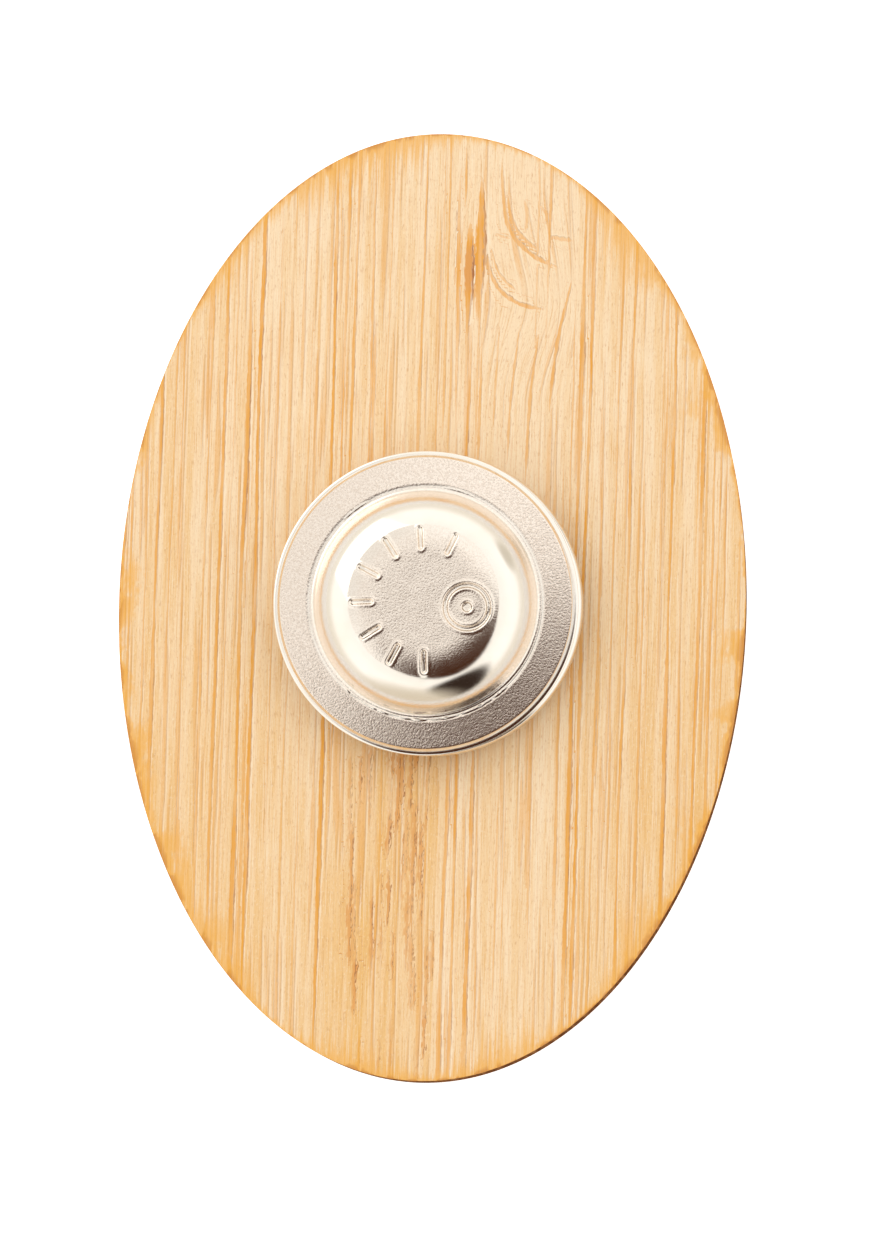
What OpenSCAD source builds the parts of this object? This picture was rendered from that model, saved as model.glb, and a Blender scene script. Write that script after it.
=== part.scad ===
// Oval bamboo badge with a round magnetic clasp.
// The badge lies face down. The origin is the middle of its front face, +Z points
// out of its back, towards the wearer, and +Y runs along its long axis and grain.
// A steel keeper is taped to the back. The clasp, a magnet in a stamped steel cap,
// snaps on to it through the wearer's clothing.

/* [Bamboo board] */
// Width of the oval across the grain
board_w = 35; // [33:0.5:45]
// Height of the oval along the grain
board_h = 53; // [46:0.5:70]
// Thickness of the board
board_t = 3; // [2:0.1:5]
// Width of the strips that the board is glued up from
strip_w = 6.9; // [5:0.1:7.4]
// Place of the glue joint nearest to the middle
middle_joint_x = 0.7; // [-1:0.1:1]

/* [Foam tape] */
// Diameter of the double-sided foam tape
tape_d = 16; // [12:0.5:17]
// Thickness of the tape when pressed
tape_t = 0.8; // [0.5:0.1:1.2]

/* [Keeper] */
// Diameter of the steel keeper
keeper_d = 17; // [17:0.1:19]
// Thickness of the keeper
keeper_t = 1.1; // [0.8:0.1:1.5]
// Radius on the keeper's upper edge
keeper_round = 0.35; // [0.1:0.05:0.5]

/* [Clasp] */
// How far to the left of the keeper's middle the clasp has snapped on
clasp_offset = 0.24; // [0:0.02:0.5]
// Diameter of the clasp's flange
flange_d = 17; // [16:0.1:18]
// Diameter of the flat on top of its dome
dome_top_d = 8.5; // [8.3:0.1:9]
// Diameter of the dome where it meets the flange
dome_base_d = 12.5; // [12.2:0.1:13]
// Radius of the bulge in the dome's wall
wall_r = 3.2; // [3:0.1:4]
// Radius of the hollow bend between dome and flange
bend_r = 0.25; // [0.2:0.05:0.4]
// Thickness of the cap's sheet steel
sheet_t = 0.5; // [0.5:0.05:0.6]
// Radius on the flange's upper edge
rim_round = 0.4; // [0.2:0.05:0.4]
// Diameter of the disc magnet
magnet_d = 8; // [7.6:0.1:8]
// Thickness of the disc magnet
magnet_t = 2; // [1.8:0.1:2.2]
// Diameter of the glue film between magnet and cap
glue_d = 7.6; // [5:0.1:7.6]
// Thickness of the glue film
glue_t = 0.1; // [0.05:0.01:0.15]

/* [Stamped marks] */
// Number of dashes stamped in the dome's top
dash_count = 8; // [4:1:8]
// Angle from one dash to the next
dash_pitch = 29.6; // [20:0.1:30]
// Angle of the first dash
dash_start = 65; // [40:1:90]
// Distance of the dashes' middles from the clasp's axis
dash_at_r = 3.45; // [3:0.05:3.5]
// Length of a dash
dash_l = 1.3; // [0.8:0.1:1.4]
// Width of every stamped line
stroke_w = 0.28; // [0.2:0.02:0.35]
// Depth of the stamped marks
stamp_depth = 0.12; // [0.05:0.01:0.15]
// Outer diameter of the stamped ring
ring_d = 2.7; // [2:0.1:2.8]
// Distance of the ring from the clasp's axis
ring_at_r = 2.45; // [2.2:0.05:2.5]
// Angle at which the ring lies
ring_angle = -8; // [-30:1:20]

/* [Hidden] */

$fn = 96;
oval_steps = 180;
arc_steps = 10;
edge_break = 0.1;
magnet_edge = 0.15;
overshoot = 1;

strip_count = 6;
joints_left_of_middle = 2;

tape_z = board_t;
keeper_z = tape_z + tape_t;
clasp_z = keeper_z + keeper_t;
cap_h = magnet_t + glue_t + sheet_t;
top_r = dome_top_d / 2;
base_r = dome_base_d / 2;
rise = cap_h - sheet_t;

// Centre of the arc that the dome's wall follows, as [radius, height]
wall_chord = norm([base_r - top_r, rise]);
wall_inset = sqrt(pow(wall_r, 2) - pow(wall_chord / 2, 2)) / wall_chord;
wall_c = [
    (top_r + base_r) / 2 - rise * wall_inset,
    (cap_h + sheet_t) / 2 - (base_r - top_r) * wall_inset
];
wall_top_a = atan2(cap_h - wall_c.y, top_r - wall_c.x);
inner_top_a = asin((rise - wall_c.y) / (wall_r - sheet_t));

// Centre of the bend between wall and flange, and the angle at which they meet
bend_z = sheet_t + bend_r;
bend_c = [wall_c.x + sqrt(pow(wall_r + bend_r, 2) - pow(bend_z - wall_c.y, 2)), bend_z];
meet_a = atan2(bend_c.y - wall_c.y, bend_c.x - wall_c.x);

// Points along an arc, from angle a to angle b
function arc(c, r, a, b) = [
    for (i = [0 : arc_steps])
        let (t = a + (b - a) * i / arc_steps)
        [c.x + r * cos(t), c.y + r * sin(t)]
];

// Half of a disc's section, with its upper edge rounded and its lower edge broken
function disc_section(d, h, upper_r, lower_r) = concat(
    [[0, 0]],
    arc([d / 2 - lower_r, lower_r], lower_r, -90, 0),
    arc([d / 2 - upper_r, h - upper_r], upper_r, 0, 90),
    [[0, h]]
);

// Half of the cap's section: over the dome and flange, and back underneath
cap_section = concat(
    [[0, cap_h]],
    arc(wall_c, wall_r, wall_top_a, meet_a),
    arc(bend_c, bend_r, 180 + meet_a, 270),
    arc([flange_d / 2 - rim_round, sheet_t - rim_round], rim_round, 90, 0),
    arc([flange_d / 2 - edge_break, edge_break], edge_break, 0, -90),
    arc(bend_c, bend_r + sheet_t, 270, 180 + meet_a),
    arc(wall_c, wall_r - sheet_t, meet_a, inner_top_a),
    [[0, rise]]
);

// Where strip number i starts, counting from 0 at the left
function strip_left(i) =
    i == 0 ? -board_w / 2 - overshoot
           : middle_joint_x + (i - 1 - joints_left_of_middle) * strip_w;

function strip_right(i) =
    i == strip_count - 1 ? board_w / 2 + overshoot : strip_left(i + 1);

module oval() {
    polygon([
        for (i = [0 : oval_steps - 1])
            let (t = 360 * i / oval_steps)
            [board_w / 2 * cos(t), board_h / 2 * sin(t)]
    ]);
}

// One strip of the board, cut from the oval with the grain along Y
module bamboo_strip(i) {
    linear_extrude(height = board_t)
        intersection() {
            oval();
            translate([strip_left(i), -board_h])
                square([strip_right(i) - strip_left(i), 2 * board_h]);
        }
}

module bamboo_strip_1() {
    color("burlywood") bamboo_strip(0);
}

module bamboo_strip_2() {
    color("navajowhite") bamboo_strip(1);
}

module bamboo_strip_3() {
    color("burlywood") bamboo_strip(2);
}

module bamboo_strip_4() {
    color("wheat") bamboo_strip(3);
}

module bamboo_strip_5() {
    color("burlywood") bamboo_strip(4);
}

module bamboo_strip_6() {
    color("navajowhite") bamboo_strip(5);
}

// Foam pad that sticks the keeper to the board
module foam_tape() {
    color("whitesmoke")
        translate([0, 0, tape_z])
            cylinder(h = tape_t, d = tape_d);
}

// Plain steel disc that the magnet holds on to
module keeper_disc() {
    color("silver")
        translate([0, 0, keeper_z])
            rotate_extrude()
                polygon(disc_section(keeper_d, keeper_t, keeper_round, edge_break));
}

// Puts its children on the clasp's own axis, with their base on the keeper
module on_clasp_axis() {
    translate([-clasp_offset, 0, clasp_z])
        children();
}

module disc_magnet() {
    color("gainsboro")
        on_clasp_axis()
            rotate_extrude()
                polygon(disc_section(magnet_d, magnet_t, magnet_edge, magnet_edge));
}

// Film of glue that holds the magnet in the cap
module magnet_glue() {
    color("khaki")
        on_clasp_axis()
            translate([0, 0, magnet_t])
                cylinder(h = glue_t, d = glue_d);
}

// A straight stamped line with round ends, along X
module dash() {
    run = dash_l - stroke_w;
    square([run, stroke_w], center = true);
    for (side = [-1, 1])
        translate([side * run / 2, 0])
            circle(d = stroke_w);
}

// The marks sunk in the dome's top: an arc of dashes, and a ring round a dot
module stamped_marks() {
    for (i = [0 : dash_count - 1])
        rotate(dash_start + i * dash_pitch)
            translate([dash_at_r, 0])
                dash();
    rotate(ring_angle)
        translate([ring_at_r, 0]) {
            difference() {
                circle(d = ring_d);
                circle(d = ring_d - 2 * stroke_w);
            }
            circle(d = 2 * stroke_w);
        }
}

// Stamped steel cap: a flange, a bulged wall and a flat top with sunk marks
module magnet_cap() {
    color("lightgray")
        on_clasp_axis()
            difference() {
                rotate_extrude()
                    polygon(cap_section);
                translate([0, 0, cap_h - stamp_depth])
                    linear_extrude(height = stamp_depth + overshoot)
                        stamped_marks();
            }
}

bamboo_strip_1();
bamboo_strip_2();
bamboo_strip_3();
bamboo_strip_4();
bamboo_strip_5();
bamboo_strip_6();
foam_tape();
keeper_disc();
disc_magnet();
magnet_glue();
magnet_cap();
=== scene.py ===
import math

import bpy
import numpy as np
from mathutils import Matrix, Vector


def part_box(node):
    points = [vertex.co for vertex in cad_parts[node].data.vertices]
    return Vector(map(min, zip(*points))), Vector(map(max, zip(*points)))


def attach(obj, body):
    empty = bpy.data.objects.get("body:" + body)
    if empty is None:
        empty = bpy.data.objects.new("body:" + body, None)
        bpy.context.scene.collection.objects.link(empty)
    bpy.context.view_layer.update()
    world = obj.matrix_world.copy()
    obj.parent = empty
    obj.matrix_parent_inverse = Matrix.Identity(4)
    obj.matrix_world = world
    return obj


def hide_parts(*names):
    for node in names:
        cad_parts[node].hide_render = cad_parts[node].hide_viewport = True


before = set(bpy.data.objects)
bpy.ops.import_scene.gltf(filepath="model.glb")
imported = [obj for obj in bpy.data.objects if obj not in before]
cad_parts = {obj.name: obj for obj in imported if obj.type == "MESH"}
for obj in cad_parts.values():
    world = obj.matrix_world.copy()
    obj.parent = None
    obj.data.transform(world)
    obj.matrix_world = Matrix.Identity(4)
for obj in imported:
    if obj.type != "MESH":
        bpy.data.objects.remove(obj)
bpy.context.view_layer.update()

# ---------------------------------------------------------------------------
# The table and the view. The badge lies face down on a white table, and the
# camera looks down at its back, a few degrees from the bottom right corner.
# ---------------------------------------------------------------------------

MM = 0.001


def colour(red, green, blue):
    """Screen colour, 0 to 255 a channel, as the linear colour that a shader takes."""
    channels = [c / 255 for c in (red, green, blue)]
    return tuple(c / 12.92 if c <= 0.04045 else ((c + 0.055) / 1.055) ** 2.4 for c in channels) + (1,)


board_low, board_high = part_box("bamboo_strip_3")
board_top = board_high.z

LEAN_RIGHT = math.radians(3.2)      # how far the camera leans to the right of straight down
LEAN_DOWN = math.radians(4.5)       # and towards the badge's lower end
ROLL = math.radians(1.5)
CAMERA_DISTANCE = 800 * MM
VIEW_HEIGHT = 69.7 * MM             # height of the picture at the board's back
AIM = Vector((0.23 * MM, -1.04 * MM, board_top))

bpy.context.scene.view_settings.view_transform = "Standard"

camera_data = bpy.data.cameras.new("camera")
camera = bpy.data.objects.new("camera", camera_data)
bpy.context.scene.collection.objects.link(camera)
camera_data.lens = camera_data.sensor_width * CAMERA_DISTANCE / VIEW_HEIGHT
camera_data.clip_start, camera_data.clip_end = 10 * MM, 10
towards_camera = Vector((math.tan(LEAN_RIGHT), -math.tan(LEAN_DOWN), 1)).normalized()
right = Vector((math.cos(ROLL), math.sin(ROLL), 0))
up = towards_camera.cross(right).normalized()
right = up.cross(towards_camera)
camera.matrix_world = Matrix.Translation(AIM + towards_camera * CAMERA_DISTANCE) @ Matrix(
    (right, up, towards_camera)).transposed().to_4x4()
bpy.context.scene.camera = camera


def new_material(name):
    """A material, its node maker and its principled shader."""
    material = bpy.data.materials.new(name)
    material.use_nodes = True
    tree = material.node_tree
    return material, NodeMaker(tree), tree.nodes["Principled BSDF"]


class NodeMaker:
    """Adds shader nodes to a tree. An input is a value, or the output of another node."""

    def __init__(self, tree):
        self.tree = tree

    def put(self, socket, value):
        if isinstance(value, bpy.types.NodeSocket):
            self.tree.links.new(value, socket)
        elif value is not None:
            socket.default_value = value

    def node(self, kind, *values, out=0, **settings):
        made = self.tree.nodes.new("ShaderNode" + kind)
        named = settings.pop("inputs", {})
        for key, value in settings.items():
            setattr(made, key, value)
        for socket, value in zip(made.inputs, values):
            self.put(socket, value)
        for key, value in named.items():
            self.put(made.inputs[key], value)
        return made.outputs[out]

    def math(self, operation, *values, clamp=False):
        return self.node("Math", *values, operation=operation, use_clamp=clamp)

    def mix(self, factor, a, b):
        """A colour between a and b, from the inputs 0, 6 and 7 of the node, which are those for colours."""
        made = self.tree.nodes.new("ShaderNodeMix")
        made.data_type = "RGBA"
        for socket, value in zip((0, 6, 7), (factor, a, b)):
            self.put(made.inputs[socket], value)
        return made.outputs[2]

    def ramp(self, value, low, high, to_low=0.0, to_high=1.0):
        return self.node("MapRange", value, low, high, to_low, to_high, interpolation_type="SMOOTHSTEP")

    def here(self, stretch=(1, 1, 1)):
        """The piece's own coordinates in millimetres, divided along each axis by stretch."""
        place = self.node("TexCoord", out=3)
        scale = [1 / (MM * s) for s in stretch]
        return self.node("VectorMath", place, scale, operation="MULTIPLY")

    def noise(self, place, detail=2.0, rough=0.5):
        inputs = {"Vector": place, "Scale": 1.0, "Detail": detail, "Roughness": rough}
        return self.node("TexNoise", inputs=inputs)

    def bump(self, height, strength, distance):
        """The normal of a surface with this height on it, and the height's full swing in millimetres."""
        return self.node("Bump", inputs={"Height": height, "Strength": strength, "Distance": distance * MM})

    def attribute(self, name):
        return self.node("Attribute", attribute_name=name, out=2)


TABLE_SIZE = 3.0
TABLE_GAP = 0.02 * MM               # how far the table lies below the badge
TABLE_GLOW = 0.85                   # makes the table plain white, but gives no light
bpy.ops.mesh.primitive_plane_add(size=TABLE_SIZE, location=(0, 0, -TABLE_GAP))
table = bpy.context.object
table.name = "table"
table_white, make, shader = new_material("table_white")
shader.inputs["Base Color"].default_value = (0.9, 0.9, 0.9, 1)
shader.inputs["Roughness"].default_value = 0.9
shader.inputs["Emission Color"].default_value = (1, 1, 1, 1)
seen_directly = make.node("LightPath", out=0)
make.put(shader.inputs["Emission Strength"], make.math("MULTIPLY", seen_directly, TABLE_GLOW))
table.data.materials.append(table_white)

# ---------------------------------------------------------------------------
# The light. A white tent gives light from all round and is brightest at its
# sides. A soft box stands at the upper left. The camera, at the lower right, and
# the other darker things in the tent show only in the nickel.
# ---------------------------------------------------------------------------

TENT_LIGHT = 1.2
TENT_WHITE = (1.03, 1.015, 0.99, 1)
ROOF_WHITE, ROOF_END, ROOF_START = (0.95, 0.94, 0.92, 1), 60, 34        # degrees from straight up
SKIRT_WHITE, SKIRT_START, SKIRT_END = (0.80, 0.77, 0.70, 1), 70, 85
SOFT_BOX_WATTS = 0.34
SOFT_BOX_SIZE = 380 * MM
SOFT_BOX_PLACE = Vector((-300, 250, 270)) * MM
# What is darker in the tent. Each has its tilt from straight up and its bearing, the radius that is fully
# dark and the radius where it ends, all in degrees, and its colour.
DARK_THINGS = [
    (28, 145, 14, 22, (0.77, 0.76, 0.74, 1)),       # the roof beside the soft box
    (20, -61, 19, 24.5, (0.055, 0.019, 0.008, 1)),  # the camera
    (68, -66, 16, 25, (0.03, 0.018, 0.013, 1)),     # its stand
    (76, 36, 0, 14, (0.6, 0.56, 0.48, 1)),          # a clamp at the upper right
    (88, -100, 8, 38, (0.66, 0.60, 0.50, 1)),       # the tent's open side
]

tent = bpy.data.worlds.new("tent")
bpy.context.scene.world = tent
tent.use_nodes = True
make = NodeMaker(tent.node_tree)
background = tent.node_tree.nodes["Background"]
looking = make.node("TexCoord", out=0)
upward = make.node("SeparateXYZ", looking, out=2)
roof = make.ramp(upward, math.cos(math.radians(ROOF_END)), math.cos(math.radians(ROOF_START)))
skirt = make.ramp(upward, math.cos(math.radians(SKIRT_START)), math.cos(math.radians(SKIRT_END)))
sky = make.mix(skirt, make.mix(roof, TENT_WHITE, ROOF_WHITE), SKIRT_WHITE)
for tilt, bearing, dark_radius, end_radius, shade in DARK_THINGS:
    tilt, bearing = math.radians(tilt), math.radians(bearing)
    way = (math.sin(tilt) * math.cos(bearing), math.sin(tilt) * math.sin(bearing), math.cos(tilt))
    closeness = make.node("VectorMath", looking, way, operation="DOT_PRODUCT", out=1)
    dark = make.ramp(closeness, math.cos(math.radians(end_radius)), math.cos(math.radians(dark_radius)))
    sky = make.mix(dark, sky, shade)
make.put(background.inputs["Color"], sky)
background.inputs["Strength"].default_value = TENT_LIGHT

soft_box_data = bpy.data.lights.new("soft_box", "AREA")
soft_box_data.shape = "SQUARE"
soft_box_data.size = SOFT_BOX_SIZE
soft_box_data.energy = SOFT_BOX_WATTS
soft_box = bpy.data.objects.new("soft_box", soft_box_data)
bpy.context.scene.collection.objects.link(soft_box)
soft_box.location = SOFT_BOX_PLACE
soft_box.rotation_euler = SOFT_BOX_PLACE.to_track_quat("Z", "Y").to_euler()

# ---------------------------------------------------------------------------
# The board: six strips of bamboo, glued edge to edge, sanded, and cut to an
# oval by laser. Each strip has its dense outer fibres on its left. The fourth
# was cut through a node of the cane, where the fibres swirl.
# ---------------------------------------------------------------------------

STRIPS = [f"bamboo_strip_{i}" for i in range(1, 7)]
strip_boxes = [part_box(name) for name in STRIPS]
HALF_W = strip_boxes[-1][1].x / MM
HALF_H = board_high.y / MM
THICK = board_top / MM
STRIP_W = (strip_boxes[2][1].x - strip_boxes[2][0].x) / MM
COLUMN_STEP = 0.06
ROWS, NODE_ROWS = 199, 381  # the strip with the node has finer rows
WALL_RINGS = 12
KERF_TAPER = 0.04           # how much smaller the oval is at the front face
BURN_BACK = 0.035           # how far the laser eats into soft places of the edge
NOISE_CELLS = 512


def smooth_noise(u, v, seed):
    """Noise between -1 and 1 that changes over one unit of u and of v."""
    cells = np.random.default_rng(seed).uniform(-1, 1, (NOISE_CELLS, NOISE_CELLS))
    iu, iv = np.floor(u).astype(int), np.floor(v).astype(int)
    fu, fv = u - iu, v - iv
    fu, fv = fu * fu * (3 - 2 * fu), fv * fv * (3 - 2 * fv)
    here, right_of = iu % NOISE_CELLS, (iu + 1) % NOISE_CELLS
    level, above = iv % NOISE_CELLS, (iv + 1) % NOISE_CELLS
    near = cells[here, level] * (1 - fv) + cells[here, above] * fv
    far = cells[right_of, level] * (1 - fv) + cells[right_of, above] * fv
    return near * (1 - fu) + far * fu


def smooth_step(value, low, high):
    t = np.clip((value - low) / (high - low), 0, 1)
    return t * t * (3 - 2 * t)


class Grain:
    """The fibre bundles on one face of a strip. Each point keeps how far it lies to the right of the bundle
    that shows most there, in half widths of that bundle, and how strong and how torn the bundle is."""

    REACH = 2.6             # how far across a bundle its groove, painted dark as shade, and its painted highlight go, in its half widths
    NEAR = 1.6              # points farther than this from a bundle's line, in millimetres, aren't touched

    def __init__(self, x, y):
        self.x, self.y = x, y
        self.across = np.full_like(x, 2 * self.REACH)
        self.strength = np.zeros_like(x)
        self.torn = np.zeros_like(x)

    def keep(self, at, across, strength, torn=0.0):
        shown = strength * np.exp(-(across / self.REACH) ** 2)
        before = self.strength[at] * np.exp(-(self.across[at] / self.REACH) ** 2)
        better = shown > before
        self.across[at[better]] = np.clip(across, -2 * self.REACH, 2 * self.REACH)[better]
        self.strength[at[better]] = strength[better]
        self.torn[at[better]] = torn

    def line(self, x, low, high, width, strength, seed, lean=0.0, torn=0.0, ends=6):
        """A bundle along the grain, x at its middle and width at its widest. It tapers to both ends."""
        at = np.flatnonzero((self.y > low) & (self.y < high) & (abs(self.x - x) < self.NEAR))
        px, py, level = self.x[at], self.y[at], np.full(len(at), float(seed))
        along = (py - low) / (high - low)
        taper = np.clip(np.minimum(along, 1 - along) * ends, 0, 1) ** 0.5
        wander = 0.09 * smooth_noise(py / 11, level, seed) + lean * (py - (low + high) / 2)
        wander += 0.02 * smooth_noise(py / 1.3, level, seed + 1)
        wander += 0.03 * torn * smooth_noise(py / 0.4, level, seed + 5)
        swell = 1 + 0.4 * smooth_noise(py / 5, level, seed + 2)
        swell += 0.3 * torn * smooth_noise(py / 0.7, level, seed + 6)
        fade = 1 - (0.35 + 0.4 * torn) * smooth_step(smooth_noise(py / 3.5, level, seed + 3), 0, 0.7)
        half = width / 2 * swell * np.maximum(taper, 0.15)
        self.keep(at, (px - x - wander) / half, strength * fade * taper, torn)

    def curve(self, places, width, strength):
        """A bundle that swirls through these places, where the node bends it."""
        path = np.array(places, float)
        for _ in range(3):      # each round cuts the corners off
            after_corner = 0.75 * path[:-1] + 0.25 * path[1:]
            before_next = 0.25 * path[:-1] + 0.75 * path[1:]
            path = np.vstack([path[:1], np.stack([after_corner, before_next], 1).reshape(-1, 2), path[-1:]])
        low, high = path.min(0) - 1, path.max(0) + 1
        at = np.flatnonzero((self.x > low[0]) & (self.x < high[0]) & (self.y > low[1]) & (self.y < high[1]))
        spot = np.stack([self.x[at], self.y[at]], 1)[:, None]
        start, run = path[:-1], np.diff(path, axis=0)
        share = np.clip(((spot - start) * run).sum(2) / np.maximum((run ** 2).sum(1), 1e-9), 0, 1)
        gap = spot - start - share[..., None] * run
        distance = np.hypot(gap[..., 0], gap[..., 1])
        which = distance.argmin(1)
        pick = np.arange(len(at))
        gap, share = gap[pick, which], share[pick, which]
        side = np.sign(run[which, 1] * gap[:, 0] - run[which, 0] * gap[:, 1])
        along = (which + share) / len(run)
        taper = np.clip(np.minimum(along, 1 - along) * 4, 0.1, 1) ** 0.5
        ripple = 1 + 0.25 * smooth_noise(along * 14, along * 0, 91)
        self.keep(at, -side * distance.min(1) / (width / 2 * taper * ripple), strength * taper)


# Bundles that stand out. Each has its strip, its place from the strip's left edge, its lower and upper end,
# its width and its strength.
BOLD_FIBRES = [
    (1, 2.7, -30, 30, 0.16, 0.8), (1, 3.15, -30, 12, 0.14, 0.7), (1, 3.9, -20, 30, 0.12, 0.6),
    (1, 4.5, -30, 30, 0.18, 0.8), (1, 5.3, -6, 30, 0.12, 0.6), (1, 6.1, -30, 4, 0.12, 0.6),
    (2, 0.3, -30, 30, 0.14, 0.7), (2, 1.1, -30, 30, 0.20, 0.9), (2, 1.65, -30, 8, 0.12, 0.6),
    (2, 2.4, -30, 22, 0.24, 0.9), (2, 3.1, -30, 30, 0.20, 1.0), (2, 4.2, -14, 26, 0.10, 0.5),
    (2, 5.1, -30, -2, 0.12, 0.5), (2, 5.9, -30, 18, 0.12, 0.5),
    (3, 0.25, -30, 30, 0.20, 1.0), (3, 0.9, -12, 30, 0.16, 0.9), (3, 1.4, -9, 30, 0.16, 0.8),
    (3, 2.4, -4, 30, 0.14, 0.7), (3, 3.3, 2, 30, 0.10, 0.5), (3, 5.15, -6, 30, 0.16, 0.7),
    (3, 6.2, -30, 30, 0.10, 0.5),
    (4, 0.42, -30, 0, 0.26, 0.8), (4, 0.9, -30, 17, 0.22, 0.9), (4, 1.85, -30, -6, 0.24, 0.9),
    (4, 2.25, -30, -10, 0.12, 0.5), (4, 3.7, -30, -8, 0.10, 0.5), (4, 5.1, -22, 11, 0.12, 0.5),
    (5, 0.3, -30, 30, 0.26, 0.9), (5, 0.85, -30, 30, 0.20, 1.0), (5, 1.7, -30, 14, 0.14, 0.7),
    (5, 2.5, -18, 30, 0.12, 0.6), (5, 3.2, -30, 30, 0.16, 0.9), (5, 4.1, -30, 10, 0.16, 0.7),
    (5, 5.0, -6, 30, 0.10, 0.5), (5, 5.6, -30, 30, 0.20, 0.9), (5, 6.3, -30, 2, 0.12, 0.6),
    (6, 0.35, -30, 30, 0.22, 0.9), (6, 1.0, -30, 30, 0.14, 0.7), (6, 1.7, -30, 30, 0.12, 0.7),
]
BOLDNESS = 0.74             # share of the widths above that the sanding has left
SLIM_FIBRES = 9             # on a whole strip, besides the bold ones
TORN_FIBRES = 66            # in the coarse patch of the third strip

# The node in the fourth strip, as places on the board: dark streaks beside it, and bundles that swirl round
# it. A streak has its x, its lower and upper end, its width and its strength.
NODE_STREAKS = [
    (0.55, 17.4, 23.5, 0.42, 1.6), (1.40, 15.2, 21.6, 0.38, 1.6), (2.02, 16.0, 24.2, 0.32, 1.6),
    (0.95, 9.6, 24.6, 0.18, 0.9), (1.15, 22.3, 26.0, 0.14, 0.8), (1.66, 18.6, 22.6, 0.14, 0.7),
    (0.30, 15.4, 20.4, 0.14, 0.6), (1.75, 8.0, 16.0, 0.12, 0.8), (2.3, 5.5, 15.4, 0.12, 0.7),
]
NODE_SWIRLS = [
    ([(3.15, 25.0), (3.25, 23.2), (3.5, 21.6), (4.0, 20.7), (4.8, 19.95), (5.5, 19.5), (6.4, 19.2)],
     0.20, 0.7),
    ([(3.5, 23.2), (3.75, 21.9), (4.2, 21.0), (4.9, 20.4), (5.3, 20.1)], 0.14, 0.6),
    ([(2.35, 20.6), (2.6, 18.9), (3.1, 17.9), (3.9, 17.25), (4.8, 16.9), (5.7, 16.8)], 0.18, 0.7),
    ([(2.7, 20.2), (3.0, 19.0), (3.5, 18.3), (4.2, 17.8)], 0.12, 0.55),
    ([(7.25, 18.4), (6.95, 17.0), (6.6, 15.4), (6.35, 13.4), (6.2, 11.0)], 0.15, 0.8),
    ([(4.5, 22.9), (4.65, 22.0), (4.6, 21.1)], 0.16, 0.45),
    ([(5.9, 20.9), (6.6, 20.75), (7.2, 20.7)], 0.18, 0.45),
    ([(5.4, 22.6), (5.8, 22.0), (5.6, 21.6)], 0.12, 0.4),
    ([(2.9, 21.0), (3.6, 20.7), (4.1, 20.9)], 0.12, 0.4),
    ([(4.4, 15.6), (4.2, 13.5), (4.0, 11.5), (3.95, 8.0)], 0.12, 0.6),
    ([(5.5, 15.4), (5.2, 13.0), (5.05, 10.5), (5.0, 7.0)], 0.13, 0.7),
    ([(3.3, 15.8), (3.2, 13.5), (3.1, 10.0)], 0.10, 0.5),
]


def fibres(grain, number, left):
    """Draws a strip's bundles: many and close at its left, fewer to its right."""
    rng = np.random.default_rng(40 + number)
    for strip, place, low, high, width, strength in BOLD_FIBRES:
        if strip == number:
            grain.line(left + place, low, high, BOLDNESS * width, strength, rng.integers(1000))
    for _ in range(SLIM_FIBRES):
        place = left + STRIP_W * rng.uniform(0, 1) ** 1.2
        middle, length = rng.uniform(-28, 28), rng.uniform(7, 30)
        width, strength, lean = rng.uniform(0.07, 0.13), rng.uniform(0.35, 0.7), rng.uniform(-0.006, 0.006)
        grain.line(place, middle - length / 2, middle + length / 2, width, strength, rng.integers(1000), lean)
    if number == 4:
        for place, low, high, width, strength in NODE_STREAKS:
            grain.line(place, low, high, width, strength, rng.integers(1000), ends=2.5)
        for places, width, strength in NODE_SWIRLS:
            grain.curve(places, width, strength)
    if number == 3:
        for _ in range(TORN_FIBRES):
            place = left + rng.uniform(1.9, 6.8)
            middle, length = rng.uniform(-26, -3), rng.uniform(1.5, 6.5)
            width, strength = rng.uniform(0.07, 0.17), rng.uniform(0.5, 1.0)
            low, high = middle - length / 2, middle + length / 2
            grain.line(place, low, high, width, strength, rng.integers(1000), torn=1.0)


def sway_at(number, x, y):
    """How far to the right the node has pushed the fine grain, in millimetres."""
    if number != 4:
        return 0 * x
    inside = smooth_step(x, 0.9, 5.4)
    above = 1.2 * smooth_step(-y, -25, -16.8) ** 1.4 * smooth_step(y, 11.5, 17.5)
    return inside * above * (1 - 0.6 * smooth_step(x, 6.2, 7.6))


# Where the laser scorched the edge most: the direction from the middle in degrees, how much, and how widely
SCORCH_SPOTS = [(38, 1.0, 11), (63, 0.8, 8), (101, 0.7, 12), (124, 0.35, 8), (152, 0.3, 9), (178, 0.9, 7),
                (193, 0.6, 6), (208, 0.9, 8), (226, 0.9, 9), (240, 0.8, 8), (262, 0.5, 7), (281, 0.6, 8),
                (304, 0.8, 9), (321, 0.8, 6), (338, 0.7, 8), (353, 0.9, 6), (8, 0.3, 6)]
LEAST_SCORCH, MOST_SCORCH = 0.08, 1.1
SMOKE_REACH = 7.0           # farthest point from the edge that keeps its distance, for the smoke


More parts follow.
